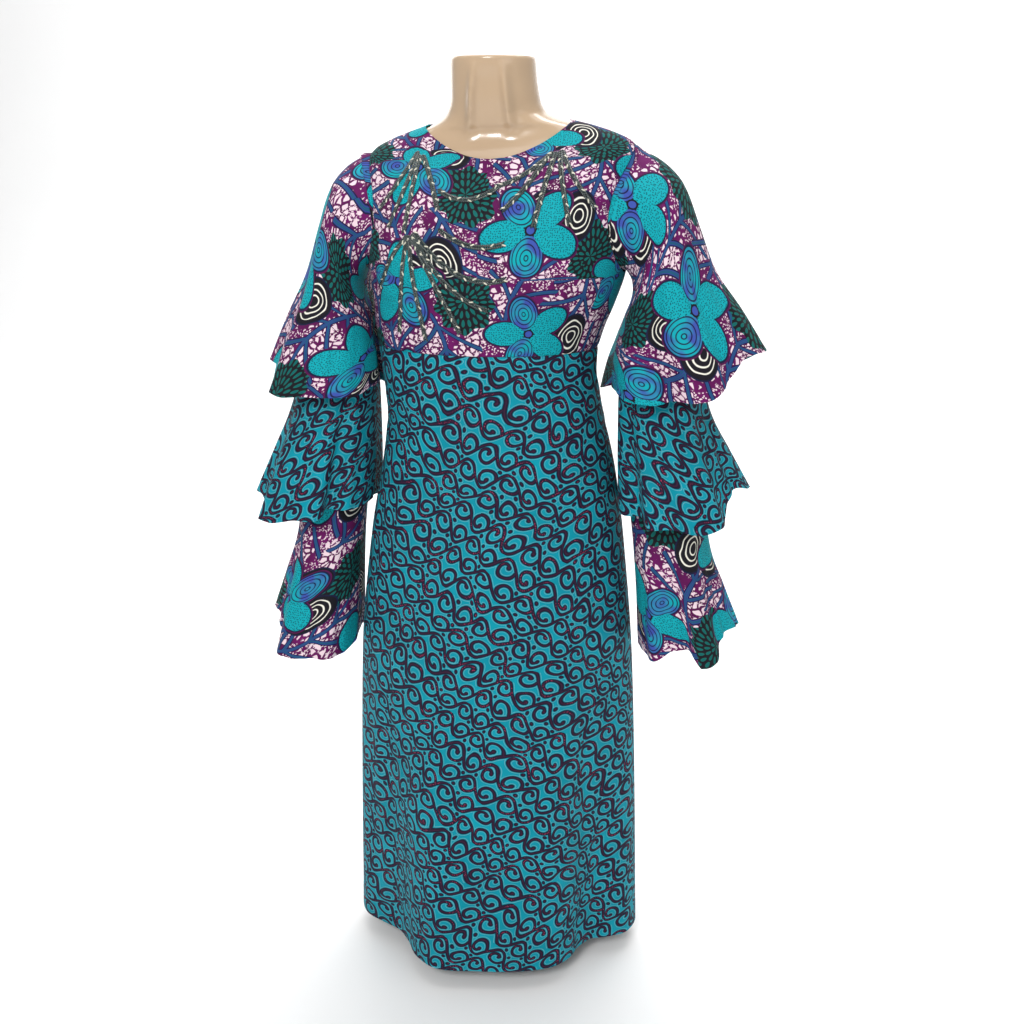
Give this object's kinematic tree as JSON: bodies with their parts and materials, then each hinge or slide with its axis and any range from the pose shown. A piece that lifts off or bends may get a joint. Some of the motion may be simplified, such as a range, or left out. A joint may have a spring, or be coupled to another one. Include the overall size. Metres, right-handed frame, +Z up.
{
  "type": "fitted dress on dress form",
  "caption": "Fitted high-waist dress with three-tier bell sleeves in two prints, worn by a limbless dress form on a low stand.",
  "frame": {"origin": "centre of the stand's underside, on the floor", "axes": "+Z up, the dress faces -Y, the wearer's left is +X"},
  "size_m": [0.6492, 0.2768, 1.19],
  "materials": {
    "motif_print_cotton": "printed cotton, matt with a slight sheen",
    "scroll_print_cotton": "printed cotton, matt with a slight sheen",
    "form_shell": "smooth glossy shell",
    "stand_steel": "satin steel",
    "zip_tape_cloth": "woven tape with a closed nylon chain",
    "zip_metal": "dark lacquered metal"
  },
  "bodies": {
    "dress": {"bodice_back_left": "motif_print_cotton", "bodice_back_right": "motif_print_cotton", "bodice_front": "motif_print_cotton", "form_body": "form_shell", "skirt_back_left": "scroll_print_cotton", "skirt_back_right": "scroll_print_cotton", "skirt_front": "scroll_print_cotton", "sleeve_left_inner": "scroll_print_cotton", "sleeve_left_tier_1": "motif_print_cotton", "sleeve_left_tier_2": "scroll_print_cotton", "sleeve_left_tier_3": "motif_print_cotton", "sleeve_right_inner": "scroll_print_cotton", "sleeve_right_tier_1": "motif_print_cotton", "sleeve_right_tier_2": "scroll_print_cotton", "sleeve_right_tier_3": "motif_print_cotton", "stand_base": "stand_steel", "stand_collar": "stand_steel", "stand_flange": "stand_steel", "stand_pole": "stand_steel", "zip_slider": "zip_metal", "zip_tape": "zip_tape_cloth"},
    "zip_pull": {"zip_pull": "zip_metal"}
  },
  "joints": [
    {"name": "zip_pull_hinge", "type": "hinge", "parent": "dress", "child": "zip_pull", "pos_m": [0.0039, 0.09238, 1.09019], "axis": [1, 0, 0], "range_deg": [0, 140]}
  ]
}
